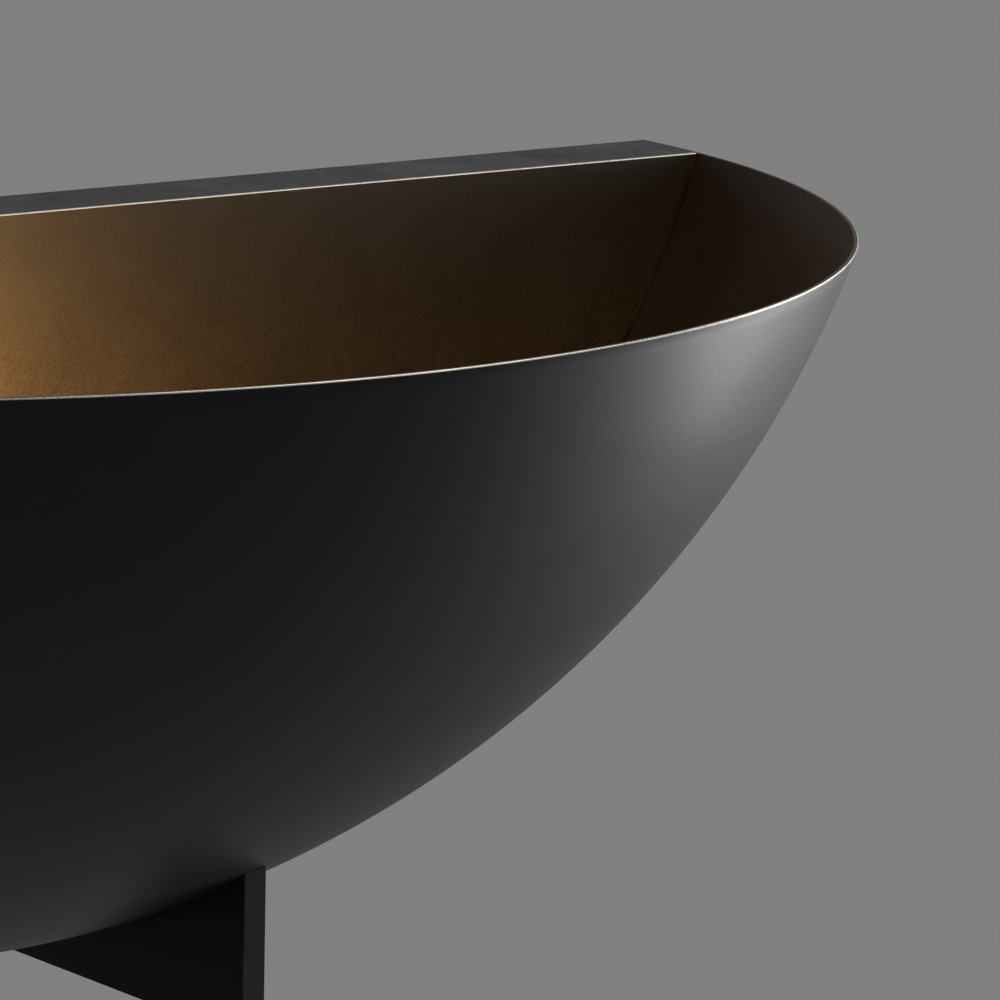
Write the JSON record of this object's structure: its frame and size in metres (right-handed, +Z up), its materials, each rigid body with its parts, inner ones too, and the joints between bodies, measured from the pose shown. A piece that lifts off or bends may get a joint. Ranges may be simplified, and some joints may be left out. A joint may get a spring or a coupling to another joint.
{
  "type": "bowl wall sconce",
  "caption": "Open half-bowl wall uplight of dark sheet metal with a flat back panel, keel plates under the bowl, a screw-in bulb inside and a hook-on wall plate.",
  "frame": {"origin": "centre of the wall plate's screw pattern, on the wall plane y = 0", "axes": "+Z up, +Y into the wall, -Y out into the room, +X along the wall to the right seen from the room"},
  "size_m": [0.5, 0.2499, 0.1795],
  "materials": {
    "patinated_sheet": "dark bronze patina, satin",
    "panel_sheet": "brown bronze patina, fine mottled grain",
    "strip_sheet": "dark grey, faintly streaked",
    "keel_plate": "near-black satin",
    "zinc_steel": "bright zinc",
    "black_screw": "black oxide",
    "earth_screw": "green passivated",
    "ceramic": "white glaze",
    "brass": "bright",
    "nickel_cap": "bright rolled sheet",
    "solder": "dull solder",
    "black_glass": "gloss insulator",
    "opal_glass": "opal, lit warm white",
    "rubber": "matt",
    "live_sleeve": "black insulation",
    "neutral_sleeve": "white insulation",
    "earth_sleeve": "green insulation",
    "connector_plastic": "orange moulded plastic"
  },
  "bodies": {
    "wall_mount": {"wall_plate": "zinc_steel", "plate_earth_screw": "earth_screw"},
    "sconce": {"bowl_shell": "patinated_sheet", "back_panel": "panel_sheet", "top_strip": "strip_sheet", "keel_plate_left": "keel_plate", "keel_plate_right": "keel_plate", "hanger_bar": "zinc_steel", "panel_studs": "zinc_steel", "stud_nuts": "zinc_steel", "holder_bracket": "zinc_steel", "bracket_screws": "zinc_steel", "bracket_nuts": "zinc_steel", "lampholder_body": "ceramic", "holder_screws": "zinc_steel", "screw_shell": "brass", "centre_contact": "brass", "terminals": "brass", "terminal_screws": "brass", "grommet": "rubber", "live_lead": "live_sleeve", "neutral_lead": "neutral_sleeve", "earth_lead": "earth_sleeve", "earth_ring": "zinc_steel", "wire_connectors": "connector_plastic"},
    "bulb": {"bulb_contact": "solder", "bulb_insulator": "black_glass", "bulb_cap": "nickel_cap", "bulb_glass": "opal_glass"},
    "lock_screw": {"lock_screw": "black_screw"}
  },
  "joints": [
    {"name": "sconce_lift", "type": "slide", "parent": "wall_mount", "child": "sconce", "axis": [0, 0, 1], "range_m": [0, 0.015]},
    {"name": "bulb_unscrew", "type": "slide", "parent": "sconce", "child": "bulb", "axis": [0, -1, 0], "range_m": [0, 0.032]},
    {"name": "lock_screw_out", "type": "slide", "parent": "sconce", "child": "lock_screw", "axis": [0, 0, -1], "range_m": [0, 0.012]}
  ]
}
